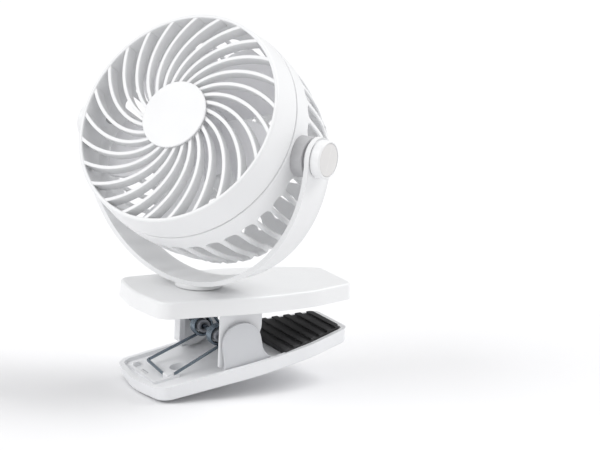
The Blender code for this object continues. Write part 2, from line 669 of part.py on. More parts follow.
def motor():
    pod_back = BACK_Z + HOUSING_WALL + GAP
    wall = 1.8 * MM
    profile = [
        (4.2 * MM, POD_FRONT_Z), (POD_RADIUS - 2 * MM, POD_FRONT_Z), (POD_RADIUS, POD_FRONT_Z - 2 * MM),
        (POD_RADIUS, pod_back), (POD_RADIUS - wall, pod_back), (POD_RADIUS - wall, POD_FRONT_Z - 2.6 * MM),
        (POD_RADIUS - 2.6 * MM, POD_FRONT_Z - wall), (4.2 * MM, POD_FRONT_Z - wall),
    ]
    piece("motor_pod", turned(profile, 36), WHITE, head)

    top = POD_FRONT_Z - wall - GAP
    length = 26 * MM
    radius = 14 * MM
    can = [(3 * MM, top), (radius, top), (radius, top - length), (radius - 1 * MM, top - length),
           (radius - 1 * MM, top - 1 * MM), (3 * MM, top - 1 * MM)]
    piece("motor_can", turned(can, 28), STEEL, head)
    piece("motor_end_cap", ring(3 * MM, radius - 1.3 * MM, top - length, top - length + 1.5 * MM, 28), DARK, head)
    stator_low, stator_high = top - length + 5 * MM, top - 6 * MM
    piece("motor_magnet", ring(10.2 * MM, radius - 1.3 * MM, stator_low, stator_high, 28), DARK, head)
    for name, low in (("bearing_front", top - 4.5 * MM), ("bearing_rear", top - length + 1.8 * MM)):
        piece(name, ring(SHAFT_RADIUS + 0.1 * MM, 4 * MM, low, low + 3 * MM, 20), STEEL, head)
    rotor = ring(SHAFT_RADIUS + 0.05 * MM + GAP / 2, 9.4 * MM, stator_low + 1 * MM, stator_high - 1 * MM, 28)
    piece("motor_rotor", rotor, COPPER, head)
    shaft = disc(SHAFT_RADIUS, top - length + 1 * MM, 22 * MM, 24)
    piece("motor_shaft", shaft, STEEL, head)

    board_z = top - length - 4 * MM
    board = slab(rounded([(-14 * MM, -9 * MM, 1 * MM), (14 * MM, -9 * MM, 1 * MM), (14 * MM, 9 * MM, 1 * MM),
                          (-14 * MM, 9 * MM, 1 * MM)], 3), board_z, board_z + 1.4 * MM)
    piece("control_board", board, BOARD, head)
    switch_back = board_z - 3.2 * MM
    switch = box((-3 * MM, -3 * MM, switch_back), (3 * MM, 3 * MM, board_z - GAP))
    piece("tact_switch", switch, DARK, head)

    # The button in the middle of the back, in its own collar.
    collar_outer = BUTTON_RADIUS + 4 * MM - GAP
    collar = [(BUTTON_RADIUS + GAP, BACK_Z + 4 * MM), (collar_outer, BACK_Z + 4 * MM), (collar_outer, BACK_Z - 0.8 * MM),
              (BUTTON_RADIUS + GAP, BACK_Z - 0.8 * MM)]
    piece("button_collar", turned(collar, 28), WARM, head)
    button = disc(BUTTON_RADIUS, BACK_Z - 2.2 * MM, switch_back - BUTTON_TRAVEL - GAP, 28)
    piece("power_button", button, WARM, head)


def power_inlet():
    """A small metal-shrouded socket in the lower side of the pod's back."""
    inner = [(-4.5 * MM, -1.6 * MM, 1.5 * MM), (4.5 * MM, -1.6 * MM, 1.5 * MM), (4.5 * MM, 1.6 * MM, 1.5 * MM),
             (-4.5 * MM, 1.6 * MM, 1.5 * MM)]
    outer = [(x * 1.09, y * 1.25, 1.9 * MM) for x, y, _ in inner]
    place = (0, -14 * MM, 0)
    low = BACK_Z - 0.2 * MM
    socket = piece("power_inlet", slab(rounded(outer, 4), low, low + 7 * MM), STEEL, head, place)
    combine(socket, cutter(slab(rounded(inner, 4), low - 1 * MM, low + 6.2 * MM), head, place))
    tongue = box((-3.2 * MM, -0.35 * MM, low + 0.6 * MM), (3.2 * MM, 0.35 * MM, low + 5.9 * MM))
    piece("inlet_tongue", tongue, DARK, head, place)
    clearance = [(x * 1.09 + math.copysign(GAP, x), y * 1.25 + math.copysign(GAP, y), 2.2 * MM) for x, y, _ in inner]
    opening = slab(rounded(clearance, 4), BACK_Z - 2 * MM, BACK_Z + 4 * MM)
    combine(bpy.data.objects["rear_housing"], cutter(opening, head, place))


def impeller():
    """A cup-shaped hub with broad pitched blades, pressed on the shaft."""
    front, back = 26 * MM, -11 * MM
    wall = 1.8 * MM
    profile = [
        (0, front), (BLADE_HUB - 5 * MM, front), (BLADE_HUB - 1.5 * MM, front - 1.5 * MM),
        (BLADE_HUB, front - 5 * MM), (BLADE_HUB, back), (BLADE_HUB - wall, back),
        (BLADE_HUB - wall, front - 6 * MM), (BLADE_HUB - 6 * MM, front - wall), (4 * MM, front - wall),
        (4 * MM, 6 * MM), (SHAFT_RADIUS + GAP, 6 * MM), (SHAFT_RADIUS + GAP, 22.4 * MM), (0, 22.4 * MM),
    ]
    wheel = piece("impeller", turned(profile, 36, closed=False), BLADE, head)
    rows, columns = 4, 4
    span = math.radians(54)

    def blades(bm):
        for b in range(BLADE_COUNT):
            grid = []
            for i in range(rows + 1):
                part = i / rows
                radius = BLADE_HUB - 1 * MM + (BLADE_TIP - BLADE_HUB + 1 * MM) * part
                line = []
                for j in range(columns + 1):
                    chord = j / columns - 0.5
                    width = 0.86 + 0.14 * math.sin(math.pi * part)
                    angle = 2 * math.pi * b / BLADE_COUNT + span * chord * width - 0.35 * part
                    rise = (23 - 6 * part) * MM * chord + 1.6 * MM * math.cos(math.pi * chord)
                    line.append(bm.verts.new((radius * math.cos(angle), radius * math.sin(angle), 6 * MM + rise)))
                grid.append(line)
            for one, two in zip(grid, grid[1:]):
                for k in range(columns):
                    bm.faces.new((one[k], one[k + 1], two[k + 1], two[k]))
    blade_tool = cutter(mesh_from(blades), head)
    solidify = blade_tool.modifiers.new("wall", "SOLIDIFY")
    solidify.thickness = 1.6 * MM
    solidify.offset = 0
    combine(wheel, blade_tool, "UNION")


front_guard()
rear_housing()
motor()
power_inlet()
impeller()
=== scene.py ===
import json
import math

import bmesh
import bpy
from mathutils import Matrix, Vector


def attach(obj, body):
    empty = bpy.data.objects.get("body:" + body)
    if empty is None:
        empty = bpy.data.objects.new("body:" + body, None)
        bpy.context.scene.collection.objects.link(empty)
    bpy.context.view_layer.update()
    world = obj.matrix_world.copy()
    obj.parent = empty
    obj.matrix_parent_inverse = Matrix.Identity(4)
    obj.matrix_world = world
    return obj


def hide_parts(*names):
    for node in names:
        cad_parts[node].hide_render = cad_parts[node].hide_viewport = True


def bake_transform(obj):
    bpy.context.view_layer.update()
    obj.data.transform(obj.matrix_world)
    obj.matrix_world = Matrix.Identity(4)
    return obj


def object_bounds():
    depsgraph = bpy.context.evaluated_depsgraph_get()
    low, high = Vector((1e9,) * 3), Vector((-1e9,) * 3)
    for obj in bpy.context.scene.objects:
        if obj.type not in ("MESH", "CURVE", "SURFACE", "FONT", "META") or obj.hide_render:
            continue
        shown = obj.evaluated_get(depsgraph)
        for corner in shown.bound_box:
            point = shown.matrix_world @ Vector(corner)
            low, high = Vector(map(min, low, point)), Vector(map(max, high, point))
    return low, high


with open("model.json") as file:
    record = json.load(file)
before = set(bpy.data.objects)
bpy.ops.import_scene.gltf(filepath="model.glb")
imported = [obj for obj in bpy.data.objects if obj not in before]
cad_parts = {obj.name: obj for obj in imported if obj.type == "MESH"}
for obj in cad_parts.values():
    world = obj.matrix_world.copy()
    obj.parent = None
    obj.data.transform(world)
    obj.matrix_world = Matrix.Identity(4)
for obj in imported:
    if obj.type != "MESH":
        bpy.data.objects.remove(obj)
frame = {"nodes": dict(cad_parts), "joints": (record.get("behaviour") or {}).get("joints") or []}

cad_low, cad_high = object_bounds()
MM = 0.001

# ---- Camera ----
# It stands level with the lower half of the head, well to the fan's right, so that
# the ring shows as a tall oval and the clamp's far end points away to the right.
joints = {joint["name"]: joint for joint in frame["joints"]}
pivot = Vector(joints["head_tilt"]["pos_m"])
azimuth, elevation, roll = math.radians(61.7), math.radians(12.46), math.radians(2.88)
camera_distance, camera_lens, sensor_width = 1.3, 126.6, 36
aim_right, aim_down = 0.0591, 0.0525    # from the head's pivot to the middle of the view
back = Vector((math.sin(azimuth) * math.cos(elevation), -math.cos(azimuth) * math.cos(elevation),
               math.sin(elevation)))
level = Vector((0, 0, 1)).cross(back).normalized()
across = level * math.cos(roll) + back.cross(level) * math.sin(roll)
above = back.cross(across)
aim = pivot + across * aim_right - above * aim_down
bpy.ops.object.camera_add()
camera = bpy.context.object
facing = Matrix((across, above, back)).transposed().to_4x4()
camera.matrix_world = Matrix.Translation(aim + back * camera_distance) @ facing
camera.data.lens = camera_lens
camera.data.sensor_width = sensor_width
camera.data.clip_start, camera.data.clip_end = 0.05, 50
bpy.context.scene.camera = camera
bpy.context.scene.view_settings.view_transform = "Standard"

# ---- Floor and light ----
# A plain pale floor just under the clamp.  Even studio light: a broad key from above and
# the right, a weaker one that looks into the guard, and a white surround.
floor_drop, floor_radius, surround_strength = 1.4 * MM, 9, 0.68
bpy.ops.object.select_all(action="DESELECT")
bpy.ops.mesh.primitive_circle_add(vertices=96, radius=floor_radius, fill_type="NGON",
                                  location=(0, 0, cad_low.z - floor_drop))
floor = bpy.context.object
floor.name = "floor"
bpy.ops.object.transform_apply()
floor_paint = bpy.data.materials.new("floor_paint")
floor_paint.use_nodes = True
floor_shader = floor_paint.node_tree.nodes["Principled BSDF"]
floor_shader.inputs["Base Color"].default_value = (0.84, 0.84, 0.85, 1)
floor_shader.inputs["Roughness"].default_value = 0.9
floor_shader.inputs["Specular IOR Level"].default_value = 0.1
floor.data.materials.append(floor_paint)

world = bpy.data.worlds.new("studio")
world.use_nodes = True
world.node_tree.nodes["Background"].inputs["Color"].default_value = (1, 1, 1, 1)
world.node_tree.nodes["Background"].inputs["Strength"].default_value = surround_strength
bpy.context.scene.world = world


def soft_light(name, direction, spread, strength):
    """A broad, even light that comes from the direction given."""
    bpy.ops.object.light_add(type="SUN", location=direction)
    lamp = bpy.context.object
    lamp.name = name
    lamp.data.angle = math.radians(spread)
    lamp.data.energy = strength
    lamp.rotation_euler = Vector(direction).to_track_quat("Z", "Y").to_euler()


soft_light("key", (0.2, 0.95, 1.1), 40, 1.6)
soft_light("front_fill", (-0.05, -0.95, 0.7), 40, 1.1)

# ---- Upper jaw cover ----
# The long top moulding of the clamp: a shallow white ABS tray turned upside down, with
# a drafted skirt and a softened crown.  Its rear half is the upper handle.
swivel_frame = Matrix.Translation((0, Vector(joints["swivel"]["pos_m"]).y, 0))
jaw_half_plan = [(34.5, -40.6, 10), (38.4, 28, 120), (33.8, 66, 60), (22.3, 99, 7)]   # x, y, radius
jaw_other_half = [(-x, y, radius) for x, y, radius in reversed(jaw_half_plan)]
jaw_plan = [(0, -45.8, 60)] + jaw_half_plan + jaw_other_half
jaw_middle = 26.6                       # half way along the jaw; its drafted ends shrink to here
cover_top, cover_foot, cover_wall = 11.1, 0.6, 2.2
cover_draft, cover_round = (0.982, 0.990, 1), 1.5


def pick(kind, test):
    """Selects only the parts of the edited mesh whose middle and normal pass the test."""
    bpy.ops.mesh.select_mode(type=kind)
    bpy.ops.mesh.select_all(action="DESELECT")
    mesh = bmesh.from_edit_mesh(bpy.context.object.data)
    for part in {"VERT": mesh.verts, "EDGE": mesh.edges, "FACE": mesh.faces}[kind]:
        corners = [part] if kind == "VERT" else part.verts
        middle = sum((corner.co for corner in corners), Vector()) / len(corners)
        normal = part.verts[1].co - part.verts[0].co if kind == "EDGE" else part.normal
        part.select_set(bool(test(middle / MM, normal.normalized())))
    mesh.select_flush_mode()
    bmesh.update_edit_mesh(bpy.context.object.data)


def draw_plan(name, corners, z=0):
    """Starts a piece as one flat face; each corner (x, y, radius) is rounded off."""
    bpy.ops.object.select_all(action="DESELECT")
    bpy.ops.mesh.primitive_circle_add(vertices=len(corners), radius=0.1, fill_type="NGON")
    piece = bpy.context.object
    piece.name = name
    for point, (x, y, radius) in zip(piece.data.vertices, corners):
        point.co = (x * MM, y * MM, z * MM)
    bpy.ops.object.mode_set(mode="EDIT")
    for i, (x, y, radius) in enumerate(corners):
        if radius:
            corner = Vector((x, y, z))
            before = Vector((*corners[i - 1][:2], z)) - corner
            after = Vector((*corners[(i + 1) % len(corners)][:2], z)) - corner
            pick("VERT", lambda middle, normal: (middle - corner).length < 0.01)
            reach = radius / math.tan(before.angle(after) / 2)
            bpy.ops.mesh.bevel(offset=reach * MM, segments=10, affect="VERTICES")
    bpy.ops.mesh.select_all(action="SELECT")
    return piece


def raise_face(height):
    """Extrudes the selection straight up, or down if the height is negative."""
    bpy.ops.mesh.extrude_region_move(TRANSFORM_OT_translate={"value": (0, 0, height * MM)})


def apply_modifier(piece, kind, **settings):
    """Adds one modifier to the piece and applies it at once."""
    if bpy.context.object.mode == "EDIT":
        bpy.ops.object.mode_set(mode="OBJECT")
    modifier = piece.modifiers.new(kind.lower(), kind)
    for name, value in settings.items():
        setattr(modifier, name, value)
    bpy.context.view_layer.objects.active = piece
    bpy.ops.object.modifier_apply(modifier=modifier.name)


def tidy_normals():
    """Merges doubles and turns every face of the edited piece outwards."""
    if bpy.context.object.mode == "OBJECT":
        bpy.ops.object.mode_set(mode="EDIT")
    bpy.ops.mesh.select_all(action="SELECT")
    bpy.ops.mesh.remove_doubles(threshold=0.005 * MM)
    bpy.ops.mesh.normals_make_consistent(inside=False)
    bpy.ops.object.mode_set(mode="OBJECT")


def soften(piece, width, segments=3, angle=32):
    """Rounds off every edge sharper than the angle, as a mould's polished corners do."""
    apply_modifier(piece, "BEVEL", width=width * MM, segments=segments, limit_method="ANGLE",
                   angle_limit=math.radians(angle), harden_normals=False, miter_outer="MITER_ARC")


def fit(piece, body, place, finish, slot, *nodes):
    """Puts the finished piece in its place on the fan, gives it its finish and its body."""
    if bpy.context.object.mode == "EDIT":
        bpy.ops.object.mode_set(mode="OBJECT")
    bpy.ops.object.select_all(action="DESELECT")
    piece.select_set(True)
    bpy.context.view_layer.objects.active = piece
    piece.matrix_world = place
    bpy.ops.object.transform_apply(location=True, rotation=True, scale=True)
    bpy.ops.object.shade_smooth()
    apply_modifier(piece, "WEIGHTED_NORMAL", weight=60, keep_sharp=True)
    piece.data.materials.clear()
    piece.data.materials.append(finish)
    if body:
        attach(piece, body)
    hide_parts(*nodes)


def moulded(name, colour, drift, roughness, grain=1500, relief=0.25, edge=0.03):
    """Moulded plastic: a faint drift of tint along the flow, a fine etched skin whose
    gloss wanders, and edges a shade paler where the skin is rubbed."""
    finish = bpy.data.materials.new(name)
    finish.use_nodes = True
    nodes, links = finish.node_tree.nodes, finish.node_tree.links
    shader = nodes["Principled BSDF"]
    shader.inputs["IOR"].default_value = 1.5
    place = nodes.new("ShaderNodeTexCoord")

    flow = nodes.new("ShaderNodeTexNoise")
    flow.inputs["Scale"].default_value = 22
    flow.inputs["Detail"].default_value = 4
    flow.inputs["Distortion"].default_value = 0.6
    links.new(place.outputs["Object"], flow.inputs["Vector"])
    tint = nodes.new("ShaderNodeMix")
    tint.data_type = "RGBA"
    tint.inputs["A"].default_value = (*colour, 1)
    tint.inputs["B"].default_value = (*drift, 1)
    links.new(flow.outputs["Fac"], tint.inputs["Factor"])

    shape = nodes.new("ShaderNodeNewGeometry")
    rubbed = nodes.new("ShaderNodeMapRange")
    rubbed.inputs["From Min"].default_value = 0.52
    rubbed.inputs["From Max"].default_value = 0.62
    rubbed.inputs["To Max"].default_value = edge * 10
    links.new(shape.outputs["Pointiness"], rubbed.inputs["Value"])
    worn = nodes.new("ShaderNodeMix")
    worn.data_type = "RGBA"
    worn.inputs["B"].default_value = (*(min(1, part + edge) for part in colour), 1)
    links.new(rubbed.outputs["Result"], worn.inputs["Factor"])
    links.new(tint.outputs["Result"], worn.inputs["A"])
    links.new(worn.outputs["Result"], shader.inputs["Base Color"])

    gloss = nodes.new("ShaderNodeTexNoise")
    gloss.inputs["Scale"].default_value = 90
    gloss.inputs["Detail"].default_value = 5
    links.new(place.outputs["Object"], gloss.inputs["Vector"])
    polish = nodes.new("ShaderNodeMapRange")
    polish.inputs["From Min"].default_value = 0.3
    polish.inputs["From Max"].default_value = 0.7
    polish.inputs["To Min"].default_value = roughness - 0.05
    polish.inputs["To Max"].default_value = roughness + 0.07
    links.new(gloss.outputs["Fac"], polish.inputs["Value"])
    links.new(polish.outputs["Result"], shader.inputs["Roughness"])

    skin = nodes.new("ShaderNodeTexNoise")
    skin.inputs["Scale"].default_value = grain
    skin.inputs["Detail"].default_value = 2
    links.new(place.outputs["Object"], skin.inputs["Vector"])
    etched = nodes.new("ShaderNodeBump")
    etched.inputs["Strength"].default_value = relief
    etched.inputs["Distance"].default_value = 0.04 * MM
    links.new(skin.outputs["Fac"], etched.inputs["Height"])
    links.new(etched.outputs["Normal"], shader.inputs["Normal"])
    return finish


white_plastic = moulded("white_abs", (0.84, 0.845, 0.85), (0.815, 0.82, 0.83), 0.34)
clamp_plastic = moulded("clamp_abs", (0.84, 0.845, 0.86), (0.80, 0.81, 0.83), 0.38)
# Painted shade: the lower jaw's ears are the same white ABS as the tray, painted a mid grey here to stand in
# for the shade that falls on them.
ear_shade_plastic = moulded("clamp_abs_painted_ear_shade", (0.62, 0.63, 0.65), (0.58, 0.59, 0.615), 0.42)

cover = draw_plan("upper_jaw_cover", jaw_plan, cover_foot)
raise_face(cover_top - cover_foot)
bpy.ops.transform.resize(value=cover_draft, center_override=(0, jaw_middle * MM, 0))
pick("EDGE", lambda middle, normal: middle.z > cover_top - 0.1)
bpy.ops.mesh.bevel(offset=cover_round * MM, segments=5, affect="EDGES")
pick("FACE", lambda middle, normal: middle.z < cover_foot + 0.1)
bpy.ops.mesh.delete(type="FACE")
tidy_normals()
apply_modifier(cover, "SOLIDIFY", thickness=cover_wall * MM, offset=-1, use_even_offset=True)
soften(cover, 0.35, 2, 50)
fit(cover, "upper_jaw", swivel_frame, white_plastic, "white", "upper_jaw_shell")

# ---- Upper jaw cheeks ----
# Two upright plates moulded under the cover.  They carry the hinge pin between the
# ears of the lower jaw; their front lower corners are rounded to clear a desk top.
# Turns a plate that was drawn flat so that it stands on edge, facing along X.
stand_on_edge = Matrix(((0, 0, 1, 0), (1, 0, 0, 0), (0, 1, 0, 0), (0, 0, 0, 1)))
cheek_outline = [(2, 8.6, 0), (2, -34.6, 1.5), (13, -36.4, 12), (25, -27, 9), (31, -11, 9), (31, 8.6, 0)]
cheek_x, cheek_wall = 27.4, 1.9
flange_reach, flange_lift, flange_width = 3.6, 2.4, 6

for side, sign in (("left", -1), ("right", 1)):
    inner_face = cheek_x if sign > 0 else -cheek_x - cheek_wall
    cheek = draw_plan("upper_jaw_cheek_" + side, cheek_outline, inner_face)
    raise_face(cheek_wall)
    if side == "left":
        # A flange along the left cheek's rear edge, turned in towards the spring.
        pick("FACE", lambda middle, normal: middle.x < 3 and normal.x < -0.9)
        bpy.ops.mesh.extrude_region_move(TRANSFORM_OT_translate={"value": (-flange_reach * MM, 0, 0)})
        pick("VERT", lambda middle, normal: middle.x < -1 and middle.y < -30)
        bpy.ops.transform.translate(value=(0, flange_lift * MM, 0))
        pick("FACE", lambda middle, normal: middle.x < 1.9 and normal.z > 0.9)
        raise_face(flange_width)
    tidy_normals()
    soften(cheek, 0.7)
    fit(cheek, "upper_jaw", swivel_frame @ stand_on_edge, clamp_plastic, "white", "upper_cheek_" + side)

# ---- Jaw pads and liner ----
# Black rubber pads with cross ribs grip the desk top from both sides.  The upper one is
# held by a flat white liner that closes the front of the cover.
rubber = moulded("ribbed_rubber", (0.030, 0.030, 0.032), (0.045, 0.045, 0.047), 0.78, 900, 0.6, 0.02)
jaw_hinge = Vector(joints["jaw_hinge"]["pos_m"])
jaw_frame = Matrix.Translation(jaw_hinge) @ Matrix.Rotation(math.radians(10.5), 4, "X")
plan_shift = -12.1                      # the lower jaw's plan, from its hinge
turned_over = Matrix.Diagonal((1, 1, -1, 1))
rib_count, rib_foot = 13, 0.7           # rib_foot: the share of the pad's height below its ribs


def paint_nodes(finish, *nodes):
    """Gives the frame's own solids, which stay as they are, this object's finish."""
    for node in nodes:
        frame["nodes"][node].data.materials.clear()
        frame["nodes"][node].data.materials.append(finish)


def rib_pad(name, corners, base, height, body, place, node):
    """A flat pad with ribs across it, cut into strips and every other strip raised."""
    pad = draw_plan(name, corners, base)
    raise_face(height * rib_foot)
    rear, front = min(y for _, y, _ in corners), max(y for _, y, _ in corners)
    pitch = (front - rear) / rib_count
    for i in range(1, rib_count):
        bpy.ops.mesh.select_all(action="SELECT")
        bpy.ops.mesh.bisect(plane_co=(0, (rear + pitch * i) * MM, 0), plane_no=(0, 1, 0))
    top = base + height * rib_foot
    pick("FACE", lambda middle, normal:
         abs(middle.z - top) < 0.05 and int((middle.y - rear) / pitch) % 2 == 0)
    raise_face(height * (1 - rib_foot))
    tidy_normals()
    soften(pad, 0.2, 2)
    fit(pad, body, place, rubber, "pad_rubber", node)


upper_pad_plan = [(33.2, 36, 1), (30.6, 64.5, 40), (19.6, 95, 4),
                  (-19.6, 95, 4), (-30.6, 64.5, 40), (-33.2, 36, 1)]
lower_pad_plan = [(33.6, 47 + plan_shift, 1), (29, 66 + plan_shift, 40), (18.6, 94 + plan_shift, 4),
                  (-18.6, 94 + plan_shift, 4), (-29, 66 + plan_shift, 40), (-33.6, 47 + plan_shift, 1)]
rib_pad("upper_pad", upper_pad_plan, -2.6, 2.6, "upper_jaw", swivel_frame @ turned_over, "upper_jaw_pad")
rib_pad("lower_pad", lower_pad_plan, -18, 3.9, "lower_jaw", jaw_frame, "lower_jaw_pad")
paint_nodes(clamp_plastic, "upper_jaw_liner")

# ---- Lower jaw tray ----
# The lower handle and jaw are one deep-rimmed moulding.  Its floor has a locating hole
# and, near the handle's end, low walls, two slots and a clip that hold the spring's bar.
tray_rim, tray_height, tray_recess, tray_rim_width = -16.1, 9.4, 2.2, 3.3
tray_floor = tray_rim - tray_recess
tray_draft, recess_draft, tray_round = (0.966, 0.982, 1), (0.985, 0.992, 1), 1.6
hole_y, hole_radius, hole_floor = -23.8, 6.2, -23.6
bar_y, bar_half = -38.6, 15.1
tray_middle = (0, (jaw_middle + plan_shift) * MM, 0)

# The cover's plan, a little narrower and half a millimetre in from it at both ends.
tray_plan = [(x * 0.985, y + plan_shift + (0.5 if y < 0 else -0.5), radius) for x, y, radius in jaw_plan]
tray = draw_plan("lower_jaw_moulding", tray_plan, tray_rim - tray_height)
raise_face(tray_height)
pick("FACE", lambda middle, normal: middle.z < tray_rim - tray_height + 0.1)
bpy.ops.transform.resize(value=tray_draft, center_override=tray_middle)
pick("EDGE", lambda middle, normal: middle.z < tray_rim - tray_height + 0.1)
bpy.ops.mesh.bevel(offset=tray_round * MM, segments=4, affect="EDGES")
pick("FACE", lambda middle, normal: middle.z > tray_rim - 0.1 and abs(normal.z) > 0.9)
bpy.ops.mesh.inset(thickness=tray_rim_width * MM, use_even_offset=True)
raise_face(-tray_recess)
bpy.ops.transform.resize(value=recess_draft, center_override=tray_middle)
tidy_normals()


def cut(piece, tool, operation="DIFFERENCE"):
    """Cuts the tool's shape out of the piece, or joins it on, and removes the tool."""
    if bpy.context.object.mode == "EDIT":
        bpy.ops.object.mode_set(mode="OBJECT")
    apply_modifier(piece, "BOOLEAN", operation=operation, object=tool, solver="EXACT")
    bpy.data.objects.remove(tool, do_unlink=True)


def block(name, low, high, radius=0.0):
    """A block between two corners, with its upright edges rounded."""
    (x1, y1, z1), (x2, y2, z2) = low, high
    piece = draw_plan(name, [(x2, y1, radius), (x2, y2, radius), (x1, y2, radius), (x1, y1, radius)], z1)
    raise_face(z2 - z1)
    tidy_normals()
    return piece


bpy.ops.object.select_all(action="DESELECT")
drill_length = 50
bpy.ops.mesh.primitive_cylinder_add(vertices=64, radius=hole_radius * MM, depth=drill_length * MM,
                                    location=(0, hole_y * MM, (hole_floor + drill_length / 2) * MM))
cut(tray, bpy.context.object)
wall_foot, wall_top = tray_floor - 1, tray_floor + 1.7
for name, low, high in (
        ("rear_wall", (-22, -49), (17.6, -47)),
        ("right_wall", (15.6, -49), (17.6, -31)),
        ("left_wall", (-22, -49), (-20, -41))):
    cut(tray, block(name, (*low, wall_foot), (*high, wall_top), 0.5), "UNION")
horn_rise, slot_half = 1.2, 0.55
cut(tray, block("horn", (-22.4, -46.5, wall_foot), (-19.6, -42.5, wall_top + horn_rise), 0.8), "UNION")
for y in (-43.6, -45.7):
    cut(tray, block("slot", (-12, y - slot_half, tray_floor - 3), (-3.5, y + slot_half, tray_floor + 1), 0.3))
soften(tray, 0.55, 3, 40)
fit(tray, "lower_jaw", jaw_frame, clamp_plastic, "white", "lower_jaw_tray")

# The clip that folds over the near corner of the spring's bar.
clip = block("spring_clip", (9.6, bar_y - 1.2, tray_floor - 0.4),
             (16.6, bar_y + 4.6, tray_floor + 3.2), 1.4)
soften(clip, 0.8, 4)
fit(clip, "lower_jaw", jaw_frame, clamp_plastic, "white")

# ---- Lower jaw ears ----
# Arched plates that rise from the tray outside the cheeks, with a raised lip round the
# arch and a foot that flares into the tray's rim.
ear_x, ear_wall = 30.9, 2.2
lip_width, lip_step = 1.3, 0.6
ear_outline = [(-8.2, tray_floor - 0.6, 0), (28, tray_floor - 0.6, 0), (20.4, -11.5, 10), (19.7, 10.7, 12.6),
               (-6.3, 10.7, 12.6), (-6.6, -12, 20)]

for side, sign in (("left", -1), ("right", 1)):
    ear = draw_plan("lower_jaw_ear_" + side, ear_outline, sign * ear_x)
    raise_face(sign * ear_wall)
    tidy_normals()
    bpy.ops.object.mode_set(mode="EDIT")
    pick("FACE", lambda middle, normal: abs(middle.z) > ear_x + ear_wall - 0.1 and abs(normal.z) > 0.9)
    bpy.ops.mesh.inset(thickness=lip_width * MM, depth=-lip_step * MM, use_even_offset=True)
    bpy.ops.object.mode_set(mode="OBJECT")
    soften(ear, 0.45, 3)
    # The ears take the mid grey copy of the clamp's white plastic: painted shade, not a different moulding.
    fit(ear, "lower_jaw", jaw_frame @ stand_on_edge, ear_shade_plastic, "white", "lower_ear_" + side)

# ---- Spring sleeves ----
# Two grey tubes on the hinge pin, one inside each coil of the spring.  They keep the
# coils centred on the pin.
sleeve_plastic = moulded("sleeve_grey", (0.33, 0.34, 0.37), (0.28, 0.29, 0.32), 0.42, 1200, 0.3, 0.05)
across_fan = Matrix.Rotation(math.radians(90), 4, "Y")      # a piece turned about Z, laid along X


def turn(name, profile, steps=96):
    """A round piece built up as on a lathe: a circle extruded and scaled along
    (radius, height) points.  A profile that comes back to its start is a ring."""
    bpy.ops.object.select_all(action="DESELECT")
    bpy.ops.mesh.primitive_circle_add(vertices=steps, radius=profile[0][0] * MM)
    piece = bpy.context.object
    piece.name = name
    bpy.ops.object.mode_set(mode="EDIT")
    bpy.ops.mesh.select_mode(type="EDGE")
    bpy.ops.mesh.select_all(action="SELECT")
    bpy.ops.transform.translate(value=(0, 0, profile[0][1] * MM))
    closed = profile[0] == profile[-1]
    if not closed:
        bpy.ops.mesh.edge_face_add()
        bpy.ops.mesh.select_mode(type="EDGE")
    for (radius, z), (next_radius, next_z) in zip(profile, profile[1:]):
        bpy.ops.mesh.extrude_region_move(TRANSFORM_OT_translate={"value": (0, 0, (next_z - z) * MM)})
        scale = next_radius / radius
        bpy.ops.transform.resize(value=(scale, scale, 1), center_override=(0, 0, 0))
    tidy_normals()
    return piece


for side, sign in (("left", -1), ("right", 1)):
    near, far = sign * 7.6, sign * 16.6
    sleeve = turn("spring_sleeve_tube_" + side, [
        (1.9, near), (4.0, near), (4.2, near + sign * 0.2), (4.2, far - sign * 0.2),
        (4.0, far), (1.9, far), (1.9, near)], 48)
    fit(sleeve, "lower_jaw", jaw_frame @ across_fan, sleeve_plastic, "grey", "spring_sleeve_" + side)

# ---- Clamp spring and hinge pin ----
# One length of zinc-plated wire: two coils side by side round the sleeves, their outer
# ends joined by a bar hooked in the tray, their free ends up under the cover.  The pin
# goes through both jaws.


def plated(name, colour, drift, roughness, grain=2200, relief=0.2, stretch=(1, 1, 1)):
    """Bare or plated metal: a cloudy passivated tint, fine drawing marks along one
    direction, and gloss that breaks up where it has been handled."""
    finish = bpy.data.materials.new(name)
    finish.use_nodes = True
    nodes, links = finish.node_tree.nodes, finish.node_tree.links
    shader = nodes["Principled BSDF"]
    shader.inputs["Metallic"].default_value = 1
    place = nodes.new("ShaderNodeTexCoord")
    cloud = nodes.new("ShaderNodeTexNoise")
    cloud.inputs["Scale"].default_value = 160
    cloud.inputs["Detail"].default_value = 6
    links.new(place.outputs["Object"], cloud.inputs["Vector"])
    tint = nodes.new("ShaderNodeMix")
    tint.data_type = "RGBA"
    tint.inputs["A"].default_value = (*colour, 1)
    tint.inputs["B"].default_value = (*drift, 1)
    links.new(cloud.outputs["Fac"], tint.inputs["Factor"])
    links.new(tint.outputs["Result"], shader.inputs["Base Color"])
    along = nodes.new("ShaderNodeMapping")
    along.inputs["Scale"].default_value = stretch
    links.new(place.outputs["Object"], along.inputs["Vector"])
    marks = nodes.new("ShaderNodeTexNoise")
    marks.inputs["Scale"].default_value = grain
    marks.inputs["Detail"].default_value = 3
    links.new(along.outputs["Vector"], marks.inputs["Vector"])
    dull = nodes.new("ShaderNodeMapRange")
    dull.inputs["To Min"].default_value = roughness - 0.06
    dull.inputs["To Max"].default_value = roughness + 0.12
    links.new(marks.outputs["Fac"], dull.inputs["Value"])
    links.new(dull.outputs["Result"], shader.inputs["Roughness"])
    drawn = nodes.new("ShaderNodeBump")
    drawn.inputs["Strength"].default_value = relief
    drawn.inputs["Distance"].default_value = 0.03 * MM
    links.new(marks.outputs["Fac"], drawn.inputs["Height"])
    links.new(drawn.outputs["Normal"], shader.inputs["Normal"])
    return finish


